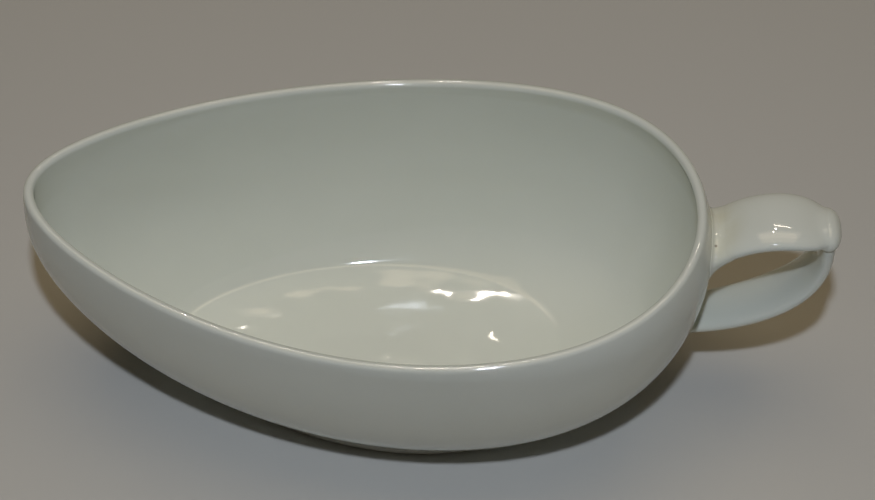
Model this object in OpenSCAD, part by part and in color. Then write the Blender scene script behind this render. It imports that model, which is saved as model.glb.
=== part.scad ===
// Bourdaloue: a porcelain bowl with an egg-shaped plan, a saddle-shaped rim, a foot ring and a strap handle
// that ends in a thumb roll. Millimetres. The tip points to -X, the handle to +X, and the foot stands on Z = 0.
// Heights on the handle are drops from the rim at the heel, so the handle follows the bowl.

/* [Rim] */
// Length over the outside of the lip, tip to heel
rim_length = 215.4; // [190:0.2:240]
// Width over the outside of the lip
rim_width = 119.6; // [104:0.2:136]
// How far the widest place lies toward the heel
rim_lean = 0.285; // [0.15:0.005:0.34]
// How square the heel is in plan
rim_square = 0.023; // [0:0.001:0.04]
// Height of the rim above the table, halfway between its high ends and its low sides
rim_height = 83.8; // [72:0.1:96]
// Rise of the rim at tip and heel, and its dip at the sides
rim_saddle = 4.1; // [0:0.1:7]

/* [Wall] */
// Thickness at the lip
lip_thickness = 3.4; // [2.4:0.1:4.4]
// Thickness at the base
wall_thickness = 4.2; // [3:0.1:4.8]
// Bulge of the wall past the rim at the tip
tip_bulge = 1.2; // [0:0.1:4]
// Bulge of the wall past the rim at the heel
heel_bulge = 3.5; // [0:0.1:6]
// Bulge of the wall past the rim at the sides
side_bulge = 0.5; // [0:0.1:3]
// Drop from the rim to the fullest line at tip and heel
end_drop = 18.5; // [10:0.5:26]
// Drop from the rim to the fullest line at the sides
side_drop = 5.5; // [4:0.5:20]
// Fullness of the belly at the tip
tip_fullness = 1.79; // [1.4:0.01:2.2]
// Fullness of the belly at the heel
heel_fullness = 2.06; // [1.7:0.01:2.4]
// Fullness of the belly at the sides
side_fullness = 2.88; // [2.2:0.01:3.4]
// How the wall leaves the base at the tip: 0.5 turns out like a round bowl, 1 goes straight up and out
tip_start = 0.88; // [0.6:0.01:1.1]
// The same at the heel
heel_start = 0.63; // [0.5:0.01:0.9]
// The same at the sides
side_start = 1.15; // [0.8:0.01:1.3]

/* [Base] */
// Length of the flat base
base_length = 132.2; // [118:0.2:146]
// Width of the flat base
base_width = 78.6; // [68:0.2:88]
// Shift of the base toward the heel
base_shift = 4.2; // [0:0.1:8]
// How far the widest place of the base lies toward the heel
base_lean = 0.2; // [0:0.01:0.3]
// Thickness of the floor
floor_thickness = 5; // [5:0.1:7]
// Fillet between the floor and the wall
floor_fillet = 2.4; // [1:0.1:4]

/* [Foot] */
// Height of the foot ring
foot_height = 3.5; // [2:0.1:6]
// Width of the band that makes the foot ring
foot_band = 4.4; // [3:0.1:7]
// Inset of the foot ring from the edge of the base
foot_inset = 0.3; // [0:0.1:2]
// Rounding of the foot ring's lower edges
foot_round = 1; // [0.4:0.1:1.4]

/* [Handle] */
// Reach of the handle past the bowl
handle_reach = 38.8; // [32:0.2:46]
// Drop from the rim to the root of the arm
arm_root_drop = 14.8; // [10:0.1:20]
// Drop from the rim to the middle of the arm at its crown
crown_drop = 4.7; // [2:0.1:8]
// Width of the arm at the bowl
arm_width = 21.6; // [18:0.2:26]
// Extra width of the arm at its middle
arm_swell = 0.8; // [0:0.1:4]
// Thickness of the arm
arm_thickness = 5; // [4:0.1:6]
// Extra height of the arm's domed top
arm_dome = 0.8; // [0:0.1:1.6]
// Drop from the rim to the middle of the thumb roll
roll_drop = 7.5; // [5:0.1:12]
// Diameter of the thumb roll
roll_diameter = 8.4; // [7.2:0.1:10]
// Length of the thumb roll
roll_length = 16.2; // [14:0.2:20]
// Drop from the rim to the root of the lower strap
strap_root_drop = 55; // [46:0.2:62]
// Width of the lower strap at the bowl
strap_width = 14.4; // [12:0.2:18]
// Extra width of the lower strap at its middle
strap_swell = 3.4; // [0:0.1:5]
// Thickness of the lower strap
strap_thickness = 5; // [3.6:0.1:5.6]
// How far the outer turn of the lower strap is drawn past the roll
strap_swing = 3.2; // [0:0.1:4]
// Size of the slip bead round the root of the arm
upper_bead = 2.2; // [1:0.1:4]
// Size of the slip bead round the root of the lower strap
lower_bead = 1.6; // [1:0.1:3]
// Clearance at the seats of the handle's pieces
seat_gap = 0.2; // [0.1:0.05:0.3]
// Margin that the straps keep from the ends of the thumb roll
roll_margin = 0.9; // [0.8:0.1:2.4]

/* [Hidden] */

// Points round the bowl, and sides and rings of a strap
around = 80;
strap_sides = 36;
strap_rings = 22;

// Heights and places that several pieces share
heel_top = rim_height + rim_saddle;
heel_x = rim_length/2 + heel_bulge;
floor_z = foot_height + floor_thickness;
lip_radius = lip_thickness/2;
roll_radius = roll_diameter/2;
roll_x = heel_x + handle_reach - roll_radius;
roll_z = heel_top - roll_drop;
arm_root_z = heel_top - arm_root_drop;
crown_z = heel_top - crown_drop;
strap_root_z = heel_top - strap_root_drop;
seat_width = roll_length - 2*roll_margin;

// Shift that puts the middle of the overall length on X = 0
middle_x = (heel_bulge + handle_reach - tip_bulge)/2;

// Plan of the bowl: an egg, with t = 0 at the heel and t = 180 at the tip

function egg_share(t, lean, square) = sin(t)*(1 + lean*cos(t) + square*cos(3*t));
function egg_peak(lean, square) = max([for (t = [0:1:180]) egg_share(t, lean, square)]);
rim_peak = egg_peak(rim_lean, rim_square);
base_peak = egg_peak(base_lean, 0);

function rim_plan(t) = [
    rim_length/2*cos(t),
    rim_width/2*egg_share(t, rim_lean, rim_square)/rim_peak
];
function girth_plan(t) = [
    (heel_bulge - tip_bulge)/2 + (rim_length + heel_bulge + tip_bulge)/2*cos(t),
    (rim_width/2 + side_bulge)*egg_share(t, rim_lean, rim_square)/rim_peak
];
function base_plan(t, inset = 0) = [
    base_shift + (base_length/2 - inset)*cos(t),
    (base_width/2 - inset)*egg_share(t, base_lean, 0)/base_peak
];

// Wall of the bowl: a rounded belly from the base up to the fullest line, then a slow turn inward to the rim

function rim_top(t) = rim_height + rim_saddle*cos(2*t);
function girth_z(t) = rim_top(t) - side_drop - (end_drop - side_drop)*pow(cos(t), 2);
function around_bowl(t, side, tip, heel) = side
    + (tip - side)*pow(max(0, -cos(t)), 2)
    + (heel - side)*pow(max(0, cos(t)), 2);
function mix(a, b, share) = a + (b - a)*share;

function belly_share(t, z) =
    let (
        full = around_bowl(t, side_fullness, tip_fullness, heel_fullness),
        start = around_bowl(t, side_start, tip_start, heel_start),
        up = min(1, max(0, (z - foot_height)/(girth_z(t) - foot_height)))
    )
    pow(1 - pow(1 - up, full), start);
function shoulder_share(t, z) = pow(max(0, z - girth_z(t))/(rim_top(t) - lip_radius - girth_z(t)), 2);
function wall_at(t, z) =
    z <= girth_z(t)
        ? mix(base_plan(t), girth_plan(t), belly_share(t, z))
        : mix(girth_plan(t), rim_plan(t), shoulder_share(t, z));

// A point on the outside of the wall: s = 0 at the base, 1 on the fullest line, 2 under the lip
function wall(t, s) =
    let (
        z = s <= 1
            ? mix(foot_height, girth_z(t), 1 - cos(90*s))
            : mix(girth_z(t), rim_top(t) - lip_radius, s - 1),
        p = wall_at(t, z)
    )
    [p.x, p.y, z];
function wall_rise(t, s) =
    let (d = wall(t, min(2, s + 0.01)) - wall(t, max(0, s - 0.01)))
    d/norm(d);
function wall_normal(t, s) =
    let (n = cross(wall(t + 1, s) - wall(t - 1, s), wall_rise(t, s)))
    n/norm(n);

// The inside of the wall is the outside moved in by the thickness, down to where it meets the floor
function inside(t, s) = wall(t, s) - mix(wall_thickness, lip_thickness, s/2)*wall_normal(t, s);
function crease_s(t, low = 0.02, high = 1, steps = 16) =
    let (s = (low + high)/2)
    steps == 0 ? s
        : inside(t, s).z < floor_z ? crease_s(t, s, high, steps - 1)
        : crease_s(t, low, s, steps - 1);
function lip_point(t, a) =
    wall(t, 2) + lip_radius*((cos(a) - 1)*wall_normal(t, 2) + sin(a)*wall_rise(t, 2));

// Seats of the handle's pieces: a point moved along a direction until it lies on the wall or on the roll

function heel_t(y, z, low = -60, high = 60, steps = 20) =
    let (t = (low + high)/2)
    steps == 0 ? t
        : wall_at(t, z).y < y ? heel_t(y, z, t, high, steps - 1)
        : heel_t(y, z, low, t, steps - 1);
function wall_x(y, z) = wall_at(heel_t(y, z), z).x;
function on_wall(p, direction, steps = 6) =
    steps == 0 ? p
        : on_wall(p + direction*(wall_x(p.y, p.z) + seat_gap - p.x)/direction.x, direction, steps - 1);

function roll_size(y) = roll_radius*pow(1 - pow(min(1, abs(y)/(roll_length/2)), 2.3), 1/2.3);
function on_roll(p, direction) =
    let (
        out = [p.x - roll_x, 0, p.z - roll_z],
        along = out*direction,
        r = roll_size(p.y) + seat_gap
    )
    p - direction*(along + sqrt(max(0, along*along - out*out + r*r)));

// Straps of the handle: an oval section carried along a curve in the XZ plane

function curve(c, u) =
    pow(1 - u, 3)*c[0] + 3*u*pow(1 - u, 2)*c[1] + 3*u*u*(1 - u)*c[2] + pow(u, 3)*c[3];
function heading(c, u) =
    let (d = pow(1 - u, 2)*(c[1] - c[0]) + 2*u*(1 - u)*(c[2] - c[1]) + u*u*(c[3] - c[2]))
    d/norm(d);
function round_power(v) = sign(v)*pow(abs(v), 0.77);
function section(c, u, width, top, bottom, share) =
    let (d = heading(c, u), up = [-d.z, 0, d.x])
    [for (i = [0:strap_sides - 1])
        let (
            a = 360*i/strap_sides,
            across = width/2*round_power(cos(a)),
            rise = (sin(a) > 0 ? top : bottom)*round_power(sin(a))
        )
        curve(c, u) + share*([0, across, 0] + rise*up)];

arm_root = [wall_x(0, arm_root_z), 0, arm_root_z];
arm_arch_z = (8*crown_z - arm_root_z - roll_z)/6;
arm_curve = [
    arm_root,
    [mix(arm_root.x, roll_x, 0.32), 0, arm_arch_z],
    [mix(arm_root.x, roll_x, 0.7), 0, arm_arch_z],
    [roll_x, 0, roll_z]
];
arm_start = 0.15;
arm_end = 0.85;
function arm_section(u, grow = 0, share = 1) =
    section(arm_curve, u,
        mix(arm_width, seat_width, pow(u, 7)) + 4*arm_swell*u*(1 - u) + 2*grow,
        arm_thickness/2 + arm_dome*(1 - u) + grow,
        mix(arm_thickness/2, 0.62*roll_radius, u) + grow,
        share);
function arm_seat(grow = 0, share = 1) =
    [for (p = arm_section(0.08, grow, share)) on_wall(p, heading(arm_curve, 0.08))];
function arm_tip(share) =
    [for (p = section(arm_curve, 0.9, seat_width, 0.62*roll_radius, 0.62*roll_radius, share))
        on_roll(p, heading(arm_curve, 0.9))];

strap_root = [wall_x(0, strap_root_z), 0, strap_root_z];
strap_top_z = roll_z - roll_radius;
strap_curve = [
    strap_root,
    [mix(strap_root.x, roll_x, 0.47), 0, mix(strap_root_z, strap_top_z, 0.09)],
    [roll_x + strap_swing, 0, mix(strap_root_z, strap_top_z, 0.4)],
    [roll_x + 0.12*roll_radius, 0, strap_top_z]
];
strap_start = 0.1;
strap_end = 0.9;
function strap_section(u, grow = 0, share = 1) =
    section(strap_curve, u,
        mix(strap_width, seat_width, u) + 4*strap_swell*u*(1 - u) + 2*grow,
        strap_thickness/2 + grow,
        strap_thickness/2 + grow,
        share);
function strap_seat(grow = 0, share = 1) =
    [for (p = strap_section(0.04, grow, share)) on_wall(p, heading(strap_curve, 0.04))];
function strap_tip(share) =
    [for (p = section(strap_curve, 0.95, seat_width, 0.55*roll_radius, 0.55*roll_radius, share))
        on_roll(p, heading(strap_curve, 0.95))];

// Shares of the section at which the end faces follow the wall and the roll
end_rings = [0.25, 0.5, 0.75, 1];

// Skins: rings of points joined by triangles, closed at both ends or joined round

function band(n, j, next) = [
    for (i = [0:n - 1])
        let (a = j*n + i, b = j*n + (i + 1)%n, c = next*n + i, d = next*n + (i + 1)%n)
        each [[a, c, b], [b, c, d]]
];

module skin(rings, first, last) {
    n = len(rings[0]);
    m = len(rings);
    sides = [for (j = [0:m - 2]) each band(n, j, j + 1)];
    start_cap = [for (i = [0:n - 1]) [m*n, i, (i + 1)%n]];
    end_cap = [for (i = [0:n - 1]) [m*n + 1, (m - 1)*n + (i + 1)%n, (m - 1)*n + i]];
    polyhedron(concat([for (ring = rings) each ring], [first, last]), concat(sides, start_cap, end_cap), convexity = 8);
}

module loop_skin(rings) {
    n = len(rings[0]);
    m = len(rings);
    polyhedron([for (ring = rings) each ring], [for (j = [0:m - 1]) each band(n, j, (j + 1)%m)], convexity = 8);
}

// Pieces

turns = [for (i = [0:around - 1]) 360*i/around];

module bowl() {
    crease = [for (t = turns) crease_s(t)];
    outer = [for (j = [0:13]) [for (t = turns) wall(t, pow(j/13, 1.2))]];
    shoulder = [for (j = [1:4]) [for (t = turns) wall(t, 1 + j/4)]];
    lip = [for (a = [30:30:150]) [for (t = turns) lip_point(t, a)]];
    fillet_s = [for (i = [0:around - 1])
        let (
            t = turns[i],
            s = crease[i],
            pace = norm(inside(t, s + 0.02) - inside(t, s))/0.02
        )
        s + floor_fillet/pace];
    inner = [for (j = [0:15])
        [for (i = [0:around - 1]) inside(turns[i], mix(2, fillet_s[i], j/15))]];
    corner = [for (i = [0:around - 1]) let (p = inside(turns[i], crease[i])) [p.x, p.y, floor_z]];
    middle = [base_shift, 0, floor_z];
    floor_edge = [for (p = corner) let (d = middle - p) p + d*floor_fillet/norm(d)];
    fillet = [for (i = [0:around - 1]) 0.25*inner[15][i] + 0.5*corner[i] + 0.25*floor_edge[i]];
    color("whitesmoke")
        translate([-middle_x, 0, 0])
            skin(
                concat(outer, shoulder, lip, inner, [fillet, floor_edge]),
                [base_shift, 0, foot_height],
                middle
            );
}

// The foot ring is a rounded band, ground flat where it stands
module foot_ring() {
    out = foot_inset;
    in = foot_inset + foot_band;
    deep = 0.5;
    loops = [
        [out, foot_height],
        [in, foot_height],
        [in, foot_round],
        [in - 0.3*foot_round, 0.3*foot_round],
        [in - foot_round, 0],
        [in - foot_round, -deep],
        [out + foot_round, -deep],
        [out + foot_round, 0],
        [out + 0.3*foot_round, 0.3*foot_round],
        [out, foot_round]
    ];
    rings = [for (q = loops) [for (t = turns) let (p = base_plan(t, q[0])) [p.x, p.y, q[1]]]];
    color("linen")
        translate([-middle_x, 0, 0])
            difference() {
                loop_skin(rings);
                translate([base_shift - base_length, -base_width, -2*deep])
                    cube([2*base_length, 2*base_width, 2*deep]);
            }
}

module handle_arm() {
    seat = [for (share = end_rings) arm_seat(0, share)];
    body = [for (j = [0:strap_rings]) arm_section(mix(arm_start, arm_end, j/strap_rings))];
    tip = [for (share = end_rings) arm_tip(1.25 - share)];
    color("gainsboro")
        translate([-middle_x, 0, 0])
            skin(concat(seat, body, tip), arm_seat(0, 0)[0], arm_tip(0)[0]);
}

module thumb_roll() {
    half = roll_length/2;
    profile = [for (a = [-90:7.5:90]) [roll_size(half*sin(a)), half*sin(a)]];
    color("white")
        translate([roll_x - middle_x, 0, roll_z])
            rotate([90, 0, 0])
                rotate_extrude($fn = 48)
                    polygon(profile);
}

module handle_strap() {
    seat = [for (share = end_rings) strap_seat(0, share)];
    body = [for (j = [0:strap_rings]) strap_section(mix(strap_start, strap_end, j/strap_rings))];
    tip = [for (share = end_rings) strap_tip(1.25 - share)];
    color("lightgrey")
        translate([-middle_x, 0, 0])
            skin(concat(seat, body, tip), strap_seat(0, 0)[0], strap_tip(0)[0]);
}

// A bead of slip fills the corner round a root: up the strap on one side, out over the wall on the other
module slip(corner, strap, outer) {
    up = mix(corner, strap, 0.5);
    hollow = mix(mix(up, outer, 0.5), corner, 0.4);
    translate([-middle_x, 0, 0])
        loop_skin([corner, outer, hollow, up]);
}

module upper_slip() {
    color("oldlace")
        slip(arm_seat(seat_gap), arm_section(arm_start, seat_gap), arm_seat(upper_bead));
}

module lower_slip() {
    color("oldlace")
        slip(strap_seat(seat_gap), strap_section(strap_start, seat_gap), strap_seat(lower_bead));
}

bowl();
foot_ring();
handle_arm();
thumb_roll();
handle_strap();
upper_slip();
lower_slip();
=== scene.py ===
# %% [markdown]
# # A bourdaloue in glazed porcelain
# The vessel is one fired pot made of a few clay pieces: an egg-shaped bowl on a foot ring, and a handle of
# two straps and a thumb roll, stuck on with slip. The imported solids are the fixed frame: they say where each
# piece is and how large it may be. Each piece is modelled again here with a finer skin, because a glossy
# glaze shows every facet.

# %% Load the frame
import math

import bmesh
import bpy
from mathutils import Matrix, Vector


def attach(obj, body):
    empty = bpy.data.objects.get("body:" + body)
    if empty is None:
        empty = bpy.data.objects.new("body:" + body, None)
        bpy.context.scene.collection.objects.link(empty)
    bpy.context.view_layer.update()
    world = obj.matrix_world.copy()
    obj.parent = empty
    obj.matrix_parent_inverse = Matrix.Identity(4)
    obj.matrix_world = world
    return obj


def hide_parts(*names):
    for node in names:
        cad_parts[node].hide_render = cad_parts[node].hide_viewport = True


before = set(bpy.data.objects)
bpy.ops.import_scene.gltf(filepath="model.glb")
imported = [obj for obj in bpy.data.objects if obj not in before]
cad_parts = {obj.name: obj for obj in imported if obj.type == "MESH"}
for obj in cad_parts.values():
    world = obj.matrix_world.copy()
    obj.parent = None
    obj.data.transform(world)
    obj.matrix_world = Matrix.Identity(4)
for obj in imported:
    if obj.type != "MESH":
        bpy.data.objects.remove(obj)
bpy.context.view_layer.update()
print("nodes:", sorted(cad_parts))

# %% [markdown]
# ## The plan of the bowl
# From above the bowl is an egg: broad at the heel, where the handle is, and narrow at the tip. An ellipse
# scaled by hand would need many pulls to look like that. A sine that leans toward the heel gives it in one
# line, with the turn t running from 0 at the heel to half a turn at the tip. Sizes are in millimetres.

# %% Egg-shaped outlines
RIM_LENGTH, RIM_WIDTH = 215.4, 119.6
RIM_LEAN, RIM_SQUARE = 0.285, 0.023
TIP_BULGE, HEEL_BULGE, SIDE_BULGE = 1.2, 3.5, 0.5
BASE_LENGTH, BASE_WIDTH = 132.2, 78.6
BASE_LEAN, BASE_SHIFT = 0.2, 4.2


def mix(a, b, share):
    return a + (b - a) * share


def egg_share(t, lean, square=0.0):
    return math.sin(t) * (1 + lean * math.cos(t) + square * math.cos(3 * t))


def egg_peak(lean, square=0.0):
    return max(egg_share(math.radians(d), lean, square) for d in range(181))


RIM_PEAK = egg_peak(RIM_LEAN, RIM_SQUARE)
BASE_PEAK = egg_peak(BASE_LEAN)


def rim_plan(t):
    x = RIM_LENGTH / 2 * math.cos(t)
    y = RIM_WIDTH / 2 * egg_share(t, RIM_LEAN, RIM_SQUARE) / RIM_PEAK
    return Vector((x, y))


def girth_plan(t):
    half = (RIM_LENGTH + HEEL_BULGE + TIP_BULGE) / 2
    x = (HEEL_BULGE - TIP_BULGE) / 2 + half * math.cos(t)
    y = (RIM_WIDTH / 2 + SIDE_BULGE) * egg_share(t, RIM_LEAN, RIM_SQUARE) / RIM_PEAK
    return Vector((x, y))


def base_plan(t, inset=0.0):
    x = BASE_SHIFT + (BASE_LENGTH / 2 - inset) * math.cos(t)
    y = (BASE_WIDTH / 2 - inset) * egg_share(t, BASE_LEAN) / BASE_PEAK
    return Vector((x, y))


print("widest turn of the rim: %.0f degrees" % max(range(181), key=lambda d: rim_plan(math.radians(d)).y))

# %% [markdown]
# ## The wall of the bowl
# The wall swells out of the base, is fullest a little under the rim, and turns slightly in to the lip. The
# rim is a saddle: high at tip and heel, low at the sides. Such a wall could be sculpted from a scaled bowl,
# but then no size in it could be changed. Here each upright slice is a curve with two powers: one says how
# full the belly is there, the other how straight the wall leaves the base. So one function gives the whole
# outside. The inside is the same wall moved in by its thickness, as on a pot cast in a mould.

# %% Outside of the wall
RIM_HEIGHT, RIM_SADDLE = 83.8, 4.1
END_DROP, SIDE_DROP = 18.5, 5.5
TIP_FULLNESS, HEEL_FULLNESS, SIDE_FULLNESS = 1.79, 2.06, 2.88
TIP_START, HEEL_START, SIDE_START = 0.88, 0.63, 1.15
FOOT_HEIGHT = 3.5
LIP_THICKNESS = 3.4
LIP_RADIUS = LIP_THICKNESS / 2


def rim_top(t):
    return RIM_HEIGHT + RIM_SADDLE * math.cos(2 * t)


def girth_z(t):
    """Height of the fullest line."""
    return rim_top(t) - SIDE_DROP - (END_DROP - SIDE_DROP) * math.cos(t) ** 2


def around_bowl(t, side, tip, heel):
    """A value that changes round the bowl, from the sides to the tip and to the heel."""
    return side + (tip - side) * max(0.0, -math.cos(t)) ** 2 + (heel - side) * max(0.0, math.cos(t)) ** 2


def wall_at(t, z):
    """Where the outside lies in plan, for a turn and a height."""
    girth, lip = girth_z(t), rim_top(t) - LIP_RADIUS
    if z > girth:
        return mix(girth_plan(t), rim_plan(t), ((z - girth) / (lip - girth)) ** 2)
    up = max(0.0, (z - FOOT_HEIGHT) / (girth - FOOT_HEIGHT))
    full = around_bowl(t, SIDE_FULLNESS, TIP_FULLNESS, HEEL_FULLNESS)
    start = around_bowl(t, SIDE_START, TIP_START, HEEL_START)
    return mix(base_plan(t), girth_plan(t), (1 - (1 - up) ** full) ** start)


def wall(t, s):
    """A point on the outside: s is 0 at the base, 1 on the fullest line and 2 under the lip."""
    if s <= 1:
        z = mix(FOOT_HEIGHT, girth_z(t), 1 - math.cos(math.pi / 2 * s))
    else:
        z = mix(girth_z(t), rim_top(t) - LIP_RADIUS, s - 1)
    x, y = wall_at(t, z)
    return Vector((x, y, z))


print("wall at the heel: %.1f mm out at half height" % wall_at(0.0, RIM_HEIGHT / 2).x)

# %% Inside and lip
WALL_THICKNESS = 4.2
RISE_STEP = 0.01
TURN_STEP = 0.0175


def wall_rise(t, s):
    return (wall(t, min(2.0, s + RISE_STEP)) - wall(t, max(0.0, s - RISE_STEP))).normalized()


def wall_normal(t, s):
    return (wall(t + TURN_STEP, s) - wall(t - TURN_STEP, s)).cross(wall_rise(t, s)).normalized()


def inside(t, s):
    return wall(t, s) - mix(WALL_THICKNESS, LIP_THICKNESS, s / 2) * wall_normal(t, s)


def lip_point(t, angle):
    """A point of the rounded lip: the angle is 0 where the lip leaves the outside."""
    out = (math.cos(angle) - 1) * wall_normal(t, 2)
    return wall(t, 2) + LIP_RADIUS * (out + math.sin(angle) * wall_rise(t, 2))


def halve(low, high, is_low, times):
    """Halves a range again and again, to find the value where is_low stops being true."""
    for _ in range(times):
        middle = (low + high) / 2
        if is_low(middle):
            low = middle
        else:
            high = middle
    return middle


def inside_s(t, z):
    """Where the inside of the wall has a height."""
    return halve(0.02, 1.0, lambda s: inside(t, s).z < z, 20)


print("lip at the heel: %.1f mm high" % lip_point(0.0, math.pi / 2).z)

# %% [markdown]
# ## Rings
# Most of the pieces are made the same way: a circle is extruded ring by ring, and each new ring is fitted to
# the outline it has there. Moving a ring with the transform operators can only scale and turn it, and these
# outlines change shape, so the fitting is done in code. Each point carries its turn round the piece as an
# attribute, which extrude copies to the new point, so a ring always knows which point is which.

# %% Rings: start, next and close
MM = 0.001
HANDLE_REACH = 38.8
MIDDLE_X = (HEEL_BULGE + HANDLE_REACH - TIP_BULGE) / 2
CIRCLE_RADIUS = 0.05


def to_frame(p):
    """From the bowl's own millimetres to the frame's metres."""
    return Vector((p.x - MIDDLE_X, p.y, p.z)) * MM


def fit_ring(piece, place):
    """Moves the selected points to the places that belong to their turns."""
    mesh = bmesh.from_edit_mesh(piece.data)
    turn = mesh.verts.layers.float["turn"]
    for v in mesh.verts:
        if v.select:
            v.co = to_frame(place(v[turn]))
    bmesh.update_edit_mesh(piece.data)


def start_ring(name, count, place, middle=None):
    """A circle of points in edit mode. With a middle it is closed there by a fan of triangles."""
    bpy.ops.object.select_all(action="DESELECT")
    fill = "NOTHING" if middle is None else "TRIFAN"
    bpy.ops.mesh.primitive_circle_add(vertices=count, radius=CIRCLE_RADIUS, fill_type=fill)
    piece = bpy.context.object
    piece.name = piece.data.name = name
    turns = piece.data.attributes.new("turn", "FLOAT", "POINT")
    rim = [v.index for v in piece.data.vertices if v.co.length > CIRCLE_RADIUS / 2]
    for i, index in enumerate(rim):
        turns.data[index].value = 2 * math.pi * i / count
    bpy.ops.object.mode_set(mode="EDIT")
    bpy.ops.mesh.select_mode(type="VERT")
    bpy.ops.mesh.select_all(action="SELECT")
    if middle is not None:
        fit_ring(piece, lambda t: middle)
        bpy.ops.mesh.region_to_loop()
        bpy.ops.mesh.select_mode(type="VERT")
    fit_ring(piece, place)
    return piece


def next_ring(piece, place):
    bpy.ops.mesh.extrude_region_move()
    fit_ring(piece, place)


def close_ring(piece, middle):
    next_ring(piece, lambda t: middle)
    bpy.ops.mesh.merge(type="CENTER")


def join_round():
    """Joins the first and the last ring of a band, which makes a closed loop of it."""
    bpy.ops.mesh.select_all(action="DESELECT")
    bpy.ops.mesh.select_non_manifold()
    bpy.ops.mesh.bridge_edge_loops()


print("the frame's middle lies %.1f mm toward the heel from the bowl's" % MIDDLE_X)

# %% Skin of a finished piece
def finish_skin(piece, levels):
    """Turns the faces outward, subdivides for a smooth glossy skin, and drops the helper attribute."""
    bpy.ops.mesh.select_all(action="SELECT")
    bpy.ops.mesh.normals_make_consistent(inside=False)
    bpy.ops.object.mode_set(mode="OBJECT")
    smooth = piece.modifiers.new("smooth skin", "SUBSURF")
    smooth.levels = smooth.render_levels = levels
    bpy.ops.object.modifier_apply(modifier=smooth.name)
    if "turn" in piece.data.attributes:
        piece.data.attributes.remove(piece.data.attributes["turn"])
    bpy.ops.object.shade_smooth()
    low, high = Vector(piece.bound_box[0]), Vector(piece.bound_box[6])
    size = tuple(round(v / MM, 1) for v in high - low)
    print(piece.name, "faces:", len(piece.data.polygons), "size in mm:", size)


# %% [markdown]
# ## Floor of the bowl
# The floor is a shallow dish: it leaves the wall at a crease, falls at about nine degrees at first, with a
# slight ripple, and is level in the middle. That slope decides where the floor shows the light above the far
# rim, so the light is drawn out into long arcs. A flat disc would show one even patch. The height of the dish
# is summed up from its slope, because the slope is what the eye sees in a glossy floor.

# %% Dish of the floor
FLOOR_THICKNESS = 5.0
FLOOR_Z = FOOT_HEIGHT + FLOOR_THICKNESS
FLOOR_SPAN = 33.0
EDGE_SLOPE, SLOPE_FALL = 0.172, 0.0064
LEVEL_START, LEVEL_FALL = 9.6, 0.0115
RIPPLE_SLOPE, RIPPLE_LENGTH, RIPPLE_CREST = 0.006, 5.4, 3.1
RIPPLE_SHIFT, RIPPLE_REACH = 0.45, 9.5
TIP_DEPTH, SIDE_DEPTH, HEEL_DEPTH = 1.5, 1.0, 1.0
DISH_STEPS = 40


def floor_slope(d):
    """Slope of the dished floor, so many millimetres in from its edge."""
    dish = max(0.0, EDGE_SLOPE - SLOPE_FALL * d - LEVEL_FALL * max(0.0, d - LEVEL_START))
    ripple = RIPPLE_SLOPE * (math.cos(2 * math.pi * (d - RIPPLE_CREST) / RIPPLE_LENGTH) - RIPPLE_SHIFT)
    return dish + ripple * math.exp(-(d / RIPPLE_REACH) ** 4)


def floor_rise(d):
    """Height of the dished floor above its middle, so many millimetres in from its edge."""
    step = max(0.0, FLOOR_SPAN - d) / DISH_STEPS
    return sum(floor_slope(d + (i + 0.5) * step) * step for i in range(DISH_STEPS))


def dish_depth(t):
    """The dish is deeper toward the tip."""
    return around_bowl(t, SIDE_DEPTH, TIP_DEPTH, HEEL_DEPTH)


def edge_z(t):
    return FLOOR_Z + dish_depth(t) * floor_rise(0.0)


print("edge of the floor: %.1f mm above its middle at the sides" % floor_rise(0.0))

# %% [markdown]
# ## Unevenness
# A pot that dried and was fired is never quite true, and the glaze shows it in wavy reflections. So the
# inside and the floor get a slow unevenness of about a tenth of a millimetre. A noise texture on a displace
# modifier could do it, but it would move the lip and the crease as well. A few sines with odd steps do it
# here, and they fade out where the shape has to run true.

# %% Sway of wall and floor
SLOW_SWAY, QUICK_SWAY = 0.10, 0.05
FLOOR_SWELL, FLOOR_WAVE, FLOOR_CRIMP = 0.05, 0.03, 0.014
SWAY_START = 12.0
LONG_WOBBLE, SHORT_WOBBLE, WOBBLE_START = 0.5, 0.4, 8.5


def wall_sway(t, s):
    """How far the inside of the wall is off, in millimetres. It fades out at the base and at the lip."""
    slow = math.sin(3 * t + 0.7) * math.sin(4.1 * s + 0.5)
    quick = math.sin(7 * t - 1.1) * math.sin(6.3 * s + 2.0)
    return (SLOW_SWAY * slow + QUICK_SWAY * quick) * math.sin(math.pi * min(1.0, s / 2)) ** 0.5


def floor_sway(p):
    """How far the floor is off at a place, in millimetres."""
    x, y = p.x - BASE_SHIFT, p.y
    slow = FLOOR_SWELL * math.sin(x / 11 + 0.8) * math.cos(y / 9 - 0.6)
    quick = FLOOR_WAVE * math.sin((x + 1.7 * y) / 6 + 2.0)
    return slow + quick + FLOOR_CRIMP * math.sin((1.2 * x - y) / 2.4)


def ring_wobble(t, d):
    """How far a ring of the dish strays in or out. The rings next to the crease run true."""
    wobble = LONG_WOBBLE * math.sin(9 * t + 1.0) + SHORT_WOBBLE * math.sin(17 * t + 0.4)
    return wobble * min(1.0, d / WOBBLE_START) ** 3


print("sway of the wall on the near side: %.2f mm" % wall_sway(-math.pi / 2, 1.0))

# %% [markdown]
# ## Bowl
# The skin starts in the middle of the underside, goes out to the edge of the base, up the outside, over the
# rounded lip, down the inside, round the toe of the wall and in to the middle of the floor: one closed shell.
# A solid could be hollowed out instead, but one skin of rings keeps the lip and the crease smooth.

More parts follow.
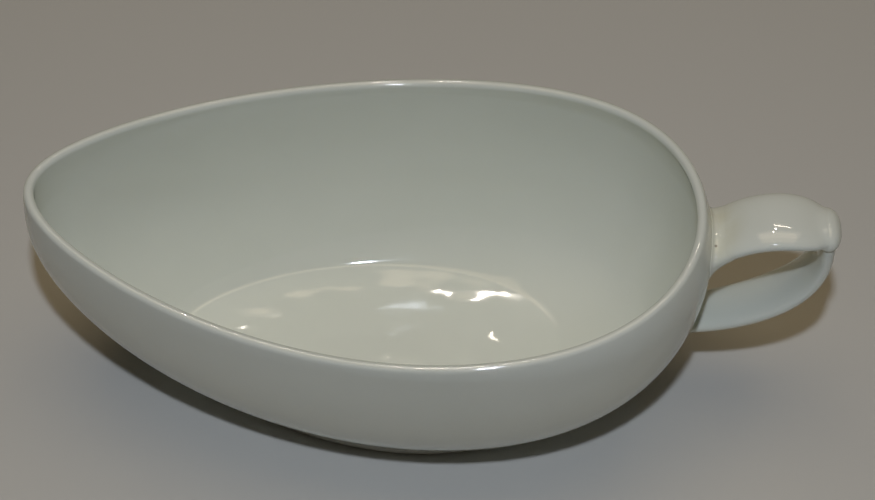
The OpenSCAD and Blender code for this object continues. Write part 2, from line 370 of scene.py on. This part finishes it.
# %% Rings of the bowl
UNDER_RISE, UNDER_INSET = 0.7, 5.5
TIP_INSET, HEEL_INSET, INSET_POWER = 0.7, 12.2, 1.7
TOE_HEIGHT, TOE_LEAN = 4.6, 1.6
PACE_STEP = 0.02
BASE_MIDDLE = Vector((BASE_SHIFT, 0.0, FOOT_HEIGHT + UNDER_RISE))
FLOOR_MIDDLE = Vector((BASE_SHIFT, 0.0, FLOOR_Z))


def bend(start, toward, end, share):
    """A point of the curve that leaves its start toward a point and comes from there to its end."""
    return (1 - share) ** 2 * start + 2 * share * (1 - share) * toward + share ** 2 * end


def under_ring(share):
    rise = UNDER_RISE * (1 - share ** 2)
    return lambda t: mix(BASE_MIDDLE, Vector((*base_plan(t, UNDER_INSET), FOOT_HEIGHT + rise)), share)


def crease_inset(t):
    """How far in from the wall the crease lies."""
    return mix(TIP_INSET, HEEL_INSET, (0.5 + 0.5 * math.cos(t)) ** INSET_POWER)


def toe_s(t):
    """The place on the wall that its toe aims at as it leaves the crease."""
    return inside_s(t, edge_z(t) + TOE_HEIGHT + TOE_LEAN * math.cos(t))


def fillet_s(t):
    s = toe_s(t)
    pace = (inside(t, s + PACE_STEP) - inside(t, s)).length / PACE_STEP
    return s + crease_inset(t) / pace


def inner_ring(share):
    def place(t):
        s = mix(2.0, fillet_s(t), share)
        return inside(t, s) + wall_sway(t, s) * wall_normal(t, s)
    return place


def floor_edge(t):
    p = inside(t, inside_s(t, edge_z(t)))
    inward = Vector((FLOOR_MIDDLE.x - p.x, FLOOR_MIDDLE.y - p.y, 0.0)).normalized()
    return p + crease_inset(t) * inward


def fillet_ring(share):
    return lambda t: bend(inner_ring(1.0)(t), inside(t, toe_s(t)), floor_edge(t), share)


def floor_ring(d):
    def place(t):
        p = mix(floor_edge(t), FLOOR_MIDDLE, d / FLOOR_SPAN)
        dish = dish_depth(t) * floor_rise(d + ring_wobble(t, d))
        sway = floor_sway(p) * min(1.0, d / SWAY_START) ** 2
        return Vector((p.x, p.y, FLOOR_Z + dish + sway))
    return place


print("crease: %.1f mm in from the wall at the heel" % crease_inset(0.0))

# %% Bowl
BOWL_TURNS = 80
UNDER_SHARES = (0.2, 0.45, 0.7, 0.9, 1.0)
BASE_EDGE_INSET = 2.6
OUTER_STEPS, OUTER_POWER = 14, 1.2
NECK_STEPS = 4
LIP_ANGLES = range(25, 180, 26)
INNER_STEPS = 15
FILLET_SHARES = (0.25, 0.5, 0.72, 0.88, 1.0)
DISH_INSETS = (0.9, 1.8, 2.6, 3.4, 4.3, 5.3, 6.3, 7.3, 8.3, 9.3, 10.4)
LEVEL_INSETS = (12.0, 14.0, 16.0, 18.5, 21.5, 25.0, 29.0)

bowl = start_ring("glazed_bowl", BOWL_TURNS, under_ring(UNDER_SHARES[0]), BASE_MIDDLE)
for share in UNDER_SHARES[1:]:
    next_ring(bowl, under_ring(share))
next_ring(bowl, lambda t: Vector((*base_plan(t, BASE_EDGE_INSET), FOOT_HEIGHT)))
for j in range(OUTER_STEPS + 1):
    next_ring(bowl, lambda t: wall(t, (j / OUTER_STEPS) ** OUTER_POWER))
for j in range(1, NECK_STEPS + 1):
    next_ring(bowl, lambda t: wall(t, 1 + j / NECK_STEPS))
for angle in LIP_ANGLES:
    next_ring(bowl, lambda t: lip_point(t, math.radians(angle)))
for j in range(INNER_STEPS + 1):
    next_ring(bowl, inner_ring(j / INNER_STEPS))
for share in FILLET_SHARES:
    next_ring(bowl, fillet_ring(share))
for inset in DISH_INSETS + LEVEL_INSETS:
    next_ring(bowl, floor_ring(inset))
close_ring(bowl, FLOOR_MIDDLE + Vector((0.0, 0.0, floor_sway(FLOOR_MIDDLE))))
finish_skin(bowl, 2)

# %% [markdown]
# ## Foot ring
# The bowl stands on a low ring. Its standing edge was wiped and ground bare, so the pot would not stick to
# the kiln shelf. The ring is a rounded band that follows the base: a circle is extruded round the band's
# section and its last ring is joined to the first.

# %% Foot ring
FOOT_BAND, FOOT_INSET = 4.4, 0.3
# Each point of the section: the share of the way across the band, and the height
FOOT_SECTION = [
    (0.0, 3.55), (0.5, 3.55), (1.0, 3.55), (1.0, 2.4), (1.0, 1.2), (0.95, 0.5), (0.84, 0.12), (0.72, 0.0),
    (0.5, 0.0), (0.28, 0.0), (0.16, 0.12), (0.05, 0.5), (0.0, 1.2), (0.0, 2.4),
]


def foot_loop(across, z):
    def place(t):
        x, y = base_plan(t, FOOT_INSET + FOOT_BAND * across)
        return Vector((x, y, z))
    return place


foot_ring = start_ring("ground_foot_ring", BOWL_TURNS, foot_loop(*FOOT_SECTION[0]))
for across, z in FOOT_SECTION[1:]:
    next_ring(foot_ring, foot_loop(across, z))
join_round()
finish_skin(foot_ring, 1)

# %% [markdown]
# ## Where the handle goes
# The straps are pulled strips of clay with an oval section, carried along a bent line. A Bezier line with
# four points in the upright middle plane gives each strap its arch. A root is found by moving the section
# along the strap until it lies on the curved wall.

# %% Sections on a line
SECTION_POWER = 0.77


def line_point(line, u):
    a, b, c, d = line
    return (1 - u) ** 3 * a + 3 * u * (1 - u) ** 2 * b + 3 * u * u * (1 - u) * c + u ** 3 * d


def heading(line, u):
    a, b, c, d = line
    return ((1 - u) ** 2 * (b - a) + 2 * u * (1 - u) * (c - b) + u * u * (d - c)).normalized()


def round_power(v):
    return math.copysign(abs(v) ** SECTION_POWER, v)


def section_point(line, u, t, width, top, bottom, extra=None):
    """A point of the oval section: t is 0 at one edge and a quarter turn in the middle of the top."""
    d = heading(line, u)
    across = width / 2 * round_power(math.cos(t))
    rise = (top if math.sin(t) > 0 else bottom) * round_power(math.sin(t))
    if extra:
        rise += math.copysign(extra(across, abs(rise)), rise)
    return line_point(line, u) + Vector((0.0, across, 0.0)) + rise * Vector((-d.z, 0.0, d.x))


def swell(u, size):
    """Extra width in the middle of a strap."""
    return 4 * size * u * (1 - u)


print("corner of a section: %.2f of its half width and height" % round_power(math.cos(math.pi / 4)))

# %% Lines of the handle
HEEL_TOP = RIM_HEIGHT + RIM_SADDLE
ROLL_RADIUS, ROLL_LENGTH, ROLL_DROP, ROLL_MARGIN = 4.2, 16.2, 7.5, 0.9
ROLL_X = RIM_LENGTH / 2 + HEEL_BULGE + HANDLE_REACH - ROLL_RADIUS
ROLL_Z = HEEL_TOP - ROLL_DROP
ROLL_MIDDLE = Vector((ROLL_X, 0.0, ROLL_Z))
SEAT_WIDTH = ROLL_LENGTH - 2 * ROLL_MARGIN
ARM_ROOT_Z, CROWN_Z, STRAP_ROOT_Z = HEEL_TOP - 14.8, HEEL_TOP - 4.7, HEEL_TOP - 55.0
ARM_BENDS = (0.32, 0.7)
STRAP_BEND, STRAP_LOW, STRAP_HIGH = 0.47, 0.09, 0.4
STRAP_BELLY, STRAP_SHIFT = 3.2, 0.12


def wall_x(y, z):
    """How far out the wall is at the heel, for a place across and a height."""
    t = halve(-math.pi / 3, math.pi / 3, lambda turn: wall_at(turn, z).y < y, 24)
    return wall_at(t, z).x


def on_wall(p, direction):
    """Moves a point along a direction until it lies on the wall at the heel."""
    for _ in range(6):
        p = p + direction * ((wall_x(p.y, p.z) - p.x) / direction.x)
    return p


arm_root = Vector((wall_x(0.0, ARM_ROOT_Z), 0.0, ARM_ROOT_Z))
# With its two inner points this high, the middle of the arm's line is at the crown
arm_arch_z = (8 * CROWN_Z - ARM_ROOT_Z - ROLL_Z) / 6
arm_bends = [Vector((mix(arm_root.x, ROLL_X, share), 0.0, arm_arch_z)) for share in ARM_BENDS]
arm_line = [arm_root, *arm_bends, ROLL_MIDDLE]
strap_root = Vector((wall_x(0.0, STRAP_ROOT_Z), 0.0, STRAP_ROOT_Z))
strap_top_z = ROLL_Z - ROLL_RADIUS
strap_line = [
    strap_root,
    Vector((mix(strap_root.x, ROLL_X, STRAP_BEND), 0.0, mix(STRAP_ROOT_Z, strap_top_z, STRAP_LOW))),
    Vector((ROLL_X + STRAP_BELLY, 0.0, mix(STRAP_ROOT_Z, strap_top_z, STRAP_HIGH))),
    Vector((ROLL_X + STRAP_SHIFT * ROLL_RADIUS, 0.0, strap_top_z)),
]
print("roots at x = %.1f and %.1f mm" % (arm_root.x, strap_root.x))

# %% [markdown]
# ## Arm of the handle
# The upper strap is a broad band, domed on top, that keeps its width until close to the thumb roll. There it
# narrows, until its edges run flush onto the roll's ends, and meets the roll in a soft hollow, as clay does
# when a thumb smooths the joint. So its last rings follow a hollow of about a centimetre's radius that ends
# flush with the roll, at every place across.

# %% Shape of the arm
STRAP_HALF = 2.5
ARM_ROOT_WIDTH, ARM_END_WIDTH, ARM_SWELL = 21.6, ROLL_LENGTH - 0.3, 0.8
NARROW_END, NARROW_POWER = 0.95, 8
ARM_DOME, ARM_TUCK = 0.8, 0.62
ARM_SEAT = 0.08
HOLLOW = 11.0
ROLL_POWER = 2.3


def arm_width(u):
    narrow = min(1.0, u / NARROW_END) ** NARROW_POWER
    return mix(ARM_ROOT_WIDTH, ARM_END_WIDTH, narrow) + swell(u, ARM_SWELL)


def roll_size(y):
    """Radius of the roll at a place across."""
    return ROLL_RADIUS * (1 - min(1.0, abs(y) / (ROLL_LENGTH / 2)) ** ROLL_POWER) ** (1 / ROLL_POWER)


def flare(height, size, distance):
    """Extra height of the arm's face near the roll, following a hollow that ends flush with the roll."""
    if height >= size:
        return 0.0
    start = math.sqrt((size + HOLLOW) ** 2 - (height + HOLLOW) ** 2)
    reach = min(max(0.0, start - distance), start * HOLLOW / (size + HOLLOW))
    return HOLLOW - math.sqrt(HOLLOW ** 2 - reach ** 2)


def arm_point(u, t, grow=0.0):
    distance = (line_point(arm_line, u) - ROLL_MIDDLE).length
    top = STRAP_HALF + ARM_DOME * (1 - u) + grow
    bottom = mix(STRAP_HALF, ARM_TUCK * ROLL_RADIUS, u) + grow
    return section_point(
        arm_line, u, t, arm_width(u) + 2 * grow, top, bottom,
        lambda across, height: flare(height, roll_size(across), distance),
    )


def arm_seat(t, grow=0.0, sink=0.0):
    """The arm's outline on the wall, grown outward or sunk into the wall."""
    d = heading(arm_line, ARM_SEAT)
    return on_wall(arm_point(ARM_SEAT, t, grow), d) - sink * d


print("arm: %.1f mm wide at its middle" % arm_width(0.5))

# %% Arm
STRAP_SIDES, STRAP_STEPS = 40, 28
ARM_FREE, ARM_SINK = 0.13, 2.2

arm = start_ring("arched_arm", STRAP_SIDES, lambda t: arm_seat(t, 0.0, ARM_SINK), arm_root)
next_ring(arm, arm_seat)
for j in range(STRAP_STEPS + 1):
    next_ring(arm, lambda t: arm_point(mix(ARM_FREE, 1.0, j / STRAP_STEPS), t))
close_ring(arm, ROLL_MIDDLE)
finish_skin(arm, 2)

# %% [markdown]
# ## Thumb roll
# At its outer end the handle has a small roll across it, where the thumb rests. It is a turned form with
# rounded ends: half of its outline is spun round the roll's axis. The outline starts as a circle that is
# squared off a little, and a bisect keeps the outer half.

# %% Thumb roll
ROLL_STEPS = 48
MERGE_DISTANCE = 0.01 * MM


def squared(v):
    return math.copysign(abs(v) ** (2 / ROLL_POWER), v)


bpy.ops.object.select_all(action="DESELECT")
bpy.ops.mesh.primitive_circle_add(vertices=ROLL_STEPS, radius=1.0)
roll = bpy.context.object
roll.name = roll.data.name = "thumb_rest_roll"
bpy.ops.object.mode_set(mode="EDIT")
bpy.ops.mesh.select_all(action="SELECT")
outline = bmesh.from_edit_mesh(roll.data)
for v in outline.verts:
    v.co.x = squared(v.co.x)
    v.co.y = squared(v.co.y)
bmesh.update_edit_mesh(roll.data)
roll_centre = to_frame(ROLL_MIDDLE)
bpy.ops.transform.resize(value=(ROLL_RADIUS * MM, ROLL_LENGTH / 2 * MM, 1.0))
bpy.ops.transform.translate(value=roll_centre)
bpy.ops.mesh.bisect(plane_co=roll_centre, plane_no=(1.0, 0.0, 0.0), clear_inner=True)
bpy.ops.mesh.select_all(action="SELECT")
bpy.ops.mesh.spin(steps=ROLL_STEPS, angle=2 * math.pi, center=roll_centre, axis=(0.0, 1.0, 0.0))
bpy.ops.mesh.select_all(action="SELECT")
bpy.ops.mesh.remove_doubles(threshold=MERGE_DISTANCE)
finish_skin(roll, 1)

# %% [markdown]
# ## Lower strap
# The lower strap leaves the wall low down, swings out and up, and tucks in under the roll, which leaves a
# small dark crease there. It is made as the arm is, with a plain oval section all the way.

# %% Lower strap
STRAP_ROOT_WIDTH, STRAP_SWELL = 14.4, 3.4
STRAP_SEAT, STRAP_FREE, STRAP_SINK = 0.04, 0.08, 2.0
TUCK = 2.4


def strap_point(u, t, grow=0.0):
    width = mix(STRAP_ROOT_WIDTH, SEAT_WIDTH, u) + swell(u, STRAP_SWELL)
    return section_point(strap_line, u, t, width + 2 * grow, STRAP_HALF + grow, STRAP_HALF + grow)


def strap_seat(t, grow=0.0, sink=0.0):
    """The strap's outline on the wall, grown outward or sunk into the wall."""
    d = heading(strap_line, STRAP_SEAT)
    return on_wall(strap_point(STRAP_SEAT, t, grow), d) - sink * d


def strap_tuck(t):
    return strap_point(1.0, t) + TUCK * heading(strap_line, 1.0)


strap = start_ring("lower_strap", STRAP_SIDES, lambda t: strap_seat(t, 0.0, STRAP_SINK), strap_root)
next_ring(strap, strap_seat)
for j in range(STRAP_STEPS + 1):
    next_ring(strap, lambda t: strap_point(mix(STRAP_FREE, 1.0, j / STRAP_STEPS), t))
next_ring(strap, strap_tuck)
close_ring(strap, ROLL_MIDDLE)
finish_skin(strap, 2)

# %% [markdown]
# ## Slip at the roots
# Where a strap meets the wall, a bead of slip was pressed into the corner and wiped to a soft hollow. The
# bead is a ring of its own. Its face runs from the wall to the strap along a curve that is flush with both,
# and its back lies hidden in them.

# %% Slip beads
BEAD_STEPS = 7
BEAD_BACK, BEAD_EDGE, BEAD_INNER = 0.9, 0.04, -1.2
UPPER_BEAD, UPPER_REACH = 2.4, 0.18
LOWER_BEAD, LOWER_REACH = 1.6, 0.09
FACE_SINK = -0.03


def slip_bead(name, seat, strap_face, bead):
    """A ring of slip: seat(t, grow, sink) lies on the wall and strap_face(t) on the strap."""
    def face(share):
        return lambda t: bend(seat(t, bead, BEAD_EDGE), seat(t), strap_face(t), share)

    ring = start_ring(name, STRAP_SIDES, lambda t: seat(t, bead, BEAD_BACK))
    for j in range(BEAD_STEPS + 1):
        next_ring(ring, face(j / BEAD_STEPS))
    next_ring(ring, lambda t: mix(strap_face(t), seat(t, BEAD_INNER), 0.5))
    next_ring(ring, lambda t: seat(t, BEAD_INNER, BEAD_BACK))
    join_round()
    finish_skin(ring, 1)
    return ring


def upper_face(t):
    return arm_point(UPPER_REACH, t, FACE_SINK)


def lower_face(t):
    return strap_point(LOWER_REACH, t, FACE_SINK)


upper_slip = slip_bead("upper_root_slip", arm_seat, upper_face, UPPER_BEAD)
lower_slip = slip_bead("lower_root_slip", strap_seat, lower_face, LOWER_BEAD)

# %% [markdown]
# ## Glazed porcelain
# Porcelain is a white, hard-fired clay under a clear gloss glaze. The eye sees an almost white, slightly
# green-grey body colour that changes slowly, a sharp reflection on top, faint waves in that reflection, a
# warmer tint where the glaze pooled at the handle's upper root, and a pinhole beside it. Colours are given
# as sRGB hex and turned to linear once, and each pattern's scale comes from its size in millimetres.

# %% Material helpers
PORCELAIN_IOR = 1.5


def linear(hex_colour):
    """An sRGB hex colour as linear RGBA."""
    parts = [int(hex_colour[i:i + 2], 16) / 255 for i in (1, 3, 5)]
    return tuple(c / 12.92 if c <= 0.04045 else ((c + 0.055) / 1.055) ** 2.4 for c in parts) + (1.0,)


def per_size(size):
    """The scale of a pattern whose features are so many millimetres across."""
    return 1 / (size * MM)


def add_node(tree, kind, inputs=None, **settings):
    """Adds a node. An input is a value, or a socket to link from."""
    made = tree.nodes.new("ShaderNode" + kind)
    for name, value in settings.items():
        setattr(made, name, value)
    for name, value in (inputs or {}).items():
        if isinstance(value, bpy.types.NodeSocket):
            tree.links.new(value, made.inputs[name])
        else:
            made.inputs[name].default_value = value
    return made


def new_material(name):
    material = bpy.data.materials.new(name)
    material.use_nodes = True
    tree = material.node_tree
    tree.nodes.clear()
    shader = add_node(tree, "BsdfPrincipled")
    add_node(tree, "OutputMaterial", {"Surface": shader.outputs["BSDF"]})
    return material, tree, shader


print("porcelain white in linear light:", [round(c, 2) for c in linear("#EAECE2")[:3]])

# %% Body colour of the glazed porcelain
porcelain, tree, shader = new_material("glazed_porcelain")
shader.inputs["IOR"].default_value = PORCELAIN_IOR
place = add_node(tree, "TexCoord").outputs["Object"]
# Slow changes of the body colour, about 45 mm across
drift = add_node(tree, "TexNoise", {"Vector": place, "Scale": per_size(45), "Detail": 2.0, "Roughness": 0.5})
body = add_node(tree, "Mix", {
    "Factor": drift.outputs["Fac"], 6: linear("#EAECE2"), 7: linear("#E2E5D9"),
}, data_type="RGBA")
print("body colour nodes:", len(tree.nodes))

# %% Pooled glaze and pinhole
POOL_OUTER, POOL_INNER = 16.0 * MM, 7.0 * MM
# In the frame, in metres
HOLE_PLACE = (0.0902, -0.0065, 0.0782)
HOLE_OUTER, HOLE_INNER = 0.6 * MM, 0.3 * MM

# Pooled glaze at the upper root: warm, fading out by 16 mm from the joint and broken up by a 7 mm noise
root_far = add_node(tree, "VectorMath", {0: place, 1: tuple(to_frame(arm_root))}, operation="DISTANCE")
root_near = add_node(tree, "MapRange", {
    "Value": root_far.outputs["Value"], "From Min": POOL_OUTER, "From Max": POOL_INNER,
    "To Min": 0.0, "To Max": 0.55,
}, interpolation_type="SMOOTHSTEP")
cloud = add_node(tree, "TexNoise", {"Vector": place, "Scale": per_size(7), "Detail": 3.0})
pool = add_node(tree, "Math", {0: root_near.outputs["Result"], 1: cloud.outputs["Fac"]}, operation="MULTIPLY")
pooled = add_node(tree, "Mix", {
    "Factor": pool.outputs["Value"], 6: body.outputs[2], 7: linear("#C2B98E"),
}, data_type="RGBA")
# One pinhole beside the upper root: a dark speck about 0.9 mm across
hole_far = add_node(tree, "VectorMath", {0: place, 1: HOLE_PLACE}, operation="DISTANCE")
speck = add_node(tree, "MapRange", {
    "Value": hole_far.outputs["Value"], "From Min": HOLE_OUTER, "From Max": HOLE_INNER,
    "To Min": 0.0, "To Max": 0.75,
})
colour = add_node(tree, "Mix", {
    "Factor": speck.outputs["Result"], 6: pooled.outputs[2], 7: linear("#6E6656"),
}, data_type="RGBA")
tree.links.new(colour.outputs[2], shader.inputs["Base Color"])
print("pinhole at:", HOLE_PLACE)

# %% Gloss and waves of the glaze
WAVE_DEPTH = 0.2 * MM

# Gloss: sharp, a little duller in patches about 30 mm across
patches = add_node(tree, "TexNoise", {"Vector": place, "Scale": per_size(30), "Detail": 4.0})
gloss = add_node(tree, "MapRange", {
    "Value": patches.outputs["Fac"], "From Min": 0.3, "From Max": 0.7, "To Min": 0.03, "To Max": 0.07,
})
tree.links.new(gloss.outputs["Result"], shader.inputs["Roughness"])
# Waves of the glaze, about 11 mm long
waves = add_node(tree, "TexNoise", {"Vector": place, "Scale": per_size(11), "Detail": 1.0})
bump = add_node(tree, "Bump", {"Height": waves.outputs["Fac"], "Strength": 0.3, "Distance": WAVE_DEPTH})
tree.links.new(bump.outputs["Normal"], shader.inputs["Normal"])
print("glazed porcelain nodes:", len(tree.nodes))

# %% [markdown]
# ## Bare porcelain
# The standing edge of the foot has no glaze. Bare porcelain is matt and a little warmer, with a fine grain
# from grinding, and it holds some grey dirt from standing about.

# %% Bare porcelain
BARE_ROUGHNESS = 0.75
GRAIN_DEPTH = 0.1 * MM

bare, tree, shader = new_material("bare_ground_porcelain")
shader.inputs["IOR"].default_value = PORCELAIN_IOR
place = add_node(tree, "TexCoord").outputs["Object"]
# Grain of the ground face: 0.8 mm, coarser than the real grit so that it shows
grain = add_node(tree, "TexNoise", {"Vector": place, "Scale": per_size(0.8), "Detail": 3.0})
# Dirt in patches about 9 mm across
dirt = add_node(tree, "TexNoise", {"Vector": place, "Scale": per_size(9), "Detail": 5.0})
dirty = add_node(tree, "MapRange", {
    "Value": dirt.outputs["Fac"], "From Min": 0.45, "From Max": 0.7, "To Min": 0.0, "To Max": 0.6,
})
soiled = add_node(tree, "Mix", {
    "Factor": dirty.outputs["Result"], 6: linear("#D9D3C5"), 7: linear("#A89D89"),
}, data_type="RGBA")
grained = add_node(tree, "Mix", {
    "Factor": grain.outputs["Fac"], 6: soiled.outputs[2], 7: linear("#CFC8B8"),
}, data_type="RGBA")
tree.links.new(grained.outputs[2], shader.inputs["Base Color"])
shader.inputs["Roughness"].default_value = BARE_ROUGHNESS
bump = add_node(tree, "Bump", {"Height": grain.outputs["Fac"], "Strength": 0.4, "Distance": GRAIN_DEPTH})
tree.links.new(bump.outputs["Normal"], shader.inputs["Normal"])
print("bare porcelain nodes:", len(tree.nodes))

# %% [markdown]
# ## Pieces on the frame
# Each new piece takes its finish, rides on the one body, and stands for its solid, which is then hidden.

# %% Put the pieces on the frame
for piece, node, finish, slot in (
    (bowl, "bowl", porcelain, "glazed_porcelain"),
    (foot_ring, "foot_ring", bare, "bare_porcelain"),
    (arm, "handle_arm", porcelain, "glazed_porcelain"),
    (roll, "thumb_roll", porcelain, "glazed_porcelain"),
    (strap, "handle_strap", porcelain, "glazed_porcelain"),
    (upper_slip, "upper_slip", porcelain, "glazed_porcelain"),
    (lower_slip, "lower_slip", porcelain, "glazed_porcelain"),
):
    piece.data.materials.append(finish)
    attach(piece, "root")
    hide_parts(node)
    print(piece.name, "stands for", node, "in", finish.name)

# %% [markdown]
# ## Floor, light and camera
# The floor is a plain pale surface. A small cool lamp in front and above throws the crisp shadows, and a
# soft warm ceiling fills them. The panel, the strip and the two small lamps behind only show in the gloss, as
# highlights on the handle and arcs on the floor of the bowl. The same lamps could light everything, but they
# would wash out the shadows. The camera looks down at the near side.

# %% Floor
FLOOR_SIZE = 6.0

bpy.ops.object.select_all(action="DESELECT")
bpy.ops.mesh.primitive_plane_add(size=FLOOR_SIZE)
floor = bpy.context.object
floor.name = floor.data.name = "pale_floor"
paper, tree, shader = new_material("pale_paper")
shader.inputs["Base Color"].default_value = linear("#D1CFC9")
shader.inputs["Roughness"].default_value = 0.9
floor.data.materials.append(paper)
print("floor: %.0f m across" % FLOOR_SIZE)

# %% Room
scene = bpy.context.scene
scene.view_settings.view_transform = "Standard"
world = bpy.data.worlds.new("soft_room")
scene.world = world
world.use_nodes = True
background = world.node_tree.nodes["Background"]
background.inputs["Color"].default_value = linear("#FFE4B0")
background.inputs["Strength"].default_value = 0.01
print("room:", world.name)

# %% Light
LIT_PLACE = Vector((0.0, 0.0, 0.05))
FRONT_PLACE = Vector((0.0213, -0.3644, 0.7908))
CREAM, PALE_CREAM = "#FFF0DC", "#FFF4E6"


def lamp(name, place, width, height, radiance, colour, gloss_only=False):
    """A flat light that faces the object and isn't seen by the camera itself."""
    bpy.ops.object.light_add(type="AREA", location=place)
    light = bpy.context.object
    light.name = light.data.name = name
    light.data.shape = "RECTANGLE"
    light.data.size = width
    light.data.size_y = height
    light.data.energy = radiance * math.pi * width * height
    light.data.color = linear(colour)[:3]
    light.rotation_euler = (place - LIT_PLACE).to_track_quat("Z", "Y").to_euler()
    light.visible_camera = False
    light.visible_diffuse = not gloss_only
    print(name, "at", tuple(round(v, 2) for v in place))


def behind(side, elevation, distance=3.0):
    """A place behind the object: so many degrees to the left, and so high above the horizon."""
    a, e = math.radians(side), math.radians(elevation)
    return LIT_PLACE + distance * Vector((-math.sin(a) * math.cos(e), math.cos(a) * math.cos(e), math.sin(e)))


lamp("front_lamp", FRONT_PLACE, width=0.03, height=0.03, radiance=850.0, colour="#E6F0FF")
lamp("warm_ceiling", behind(0.0, 82.0, 2.4), width=1.8, height=1.4, radiance=1.5, colour="#FFE7BE")
lamp("back_panel", behind(0.0, 70.0), width=2.6, height=0.8, radiance=0.9, colour=CREAM, gloss_only=True)
lamp("back_strip", behind(-10.0, 57.0), width=0.9, height=0.03, radiance=40.0, colour=CREAM, gloss_only=True)
for name, place in (("back_lamp_low", behind(4.0, 60.0)), ("back_lamp_high", behind(11.0, 63.5))):
    lamp(name, place, width=0.04, height=0.04, radiance=400.0, colour=PALE_CREAM, gloss_only=True)

# %% Camera
CAMERA_TARGET = Vector((0.003406, -0.016847, 0.0838))
CAMERA_ELEVATION, CAMERA_YAW, CAMERA_DISTANCE = math.radians(52.0), math.radians(2.874), 0.65
SENSOR_WIDTH, LENS = 36.0, 86.43

back = Vector((
    math.sin(CAMERA_YAW) * math.cos(CAMERA_ELEVATION),
    -math.cos(CAMERA_YAW) * math.cos(CAMERA_ELEVATION),
    math.sin(CAMERA_ELEVATION),
))
bpy.ops.object.camera_add(location=CAMERA_TARGET + CAMERA_DISTANCE * back)
camera = bpy.context.object
camera.rotation_euler = back.to_track_quat("Z", "Y").to_euler()
camera.data.sensor_fit = "HORIZONTAL"
camera.data.sensor_width = SENSOR_WIDTH
camera.data.lens = LENS
scene.camera = camera
print("camera at", tuple(round(v, 2) for v in camera.location))
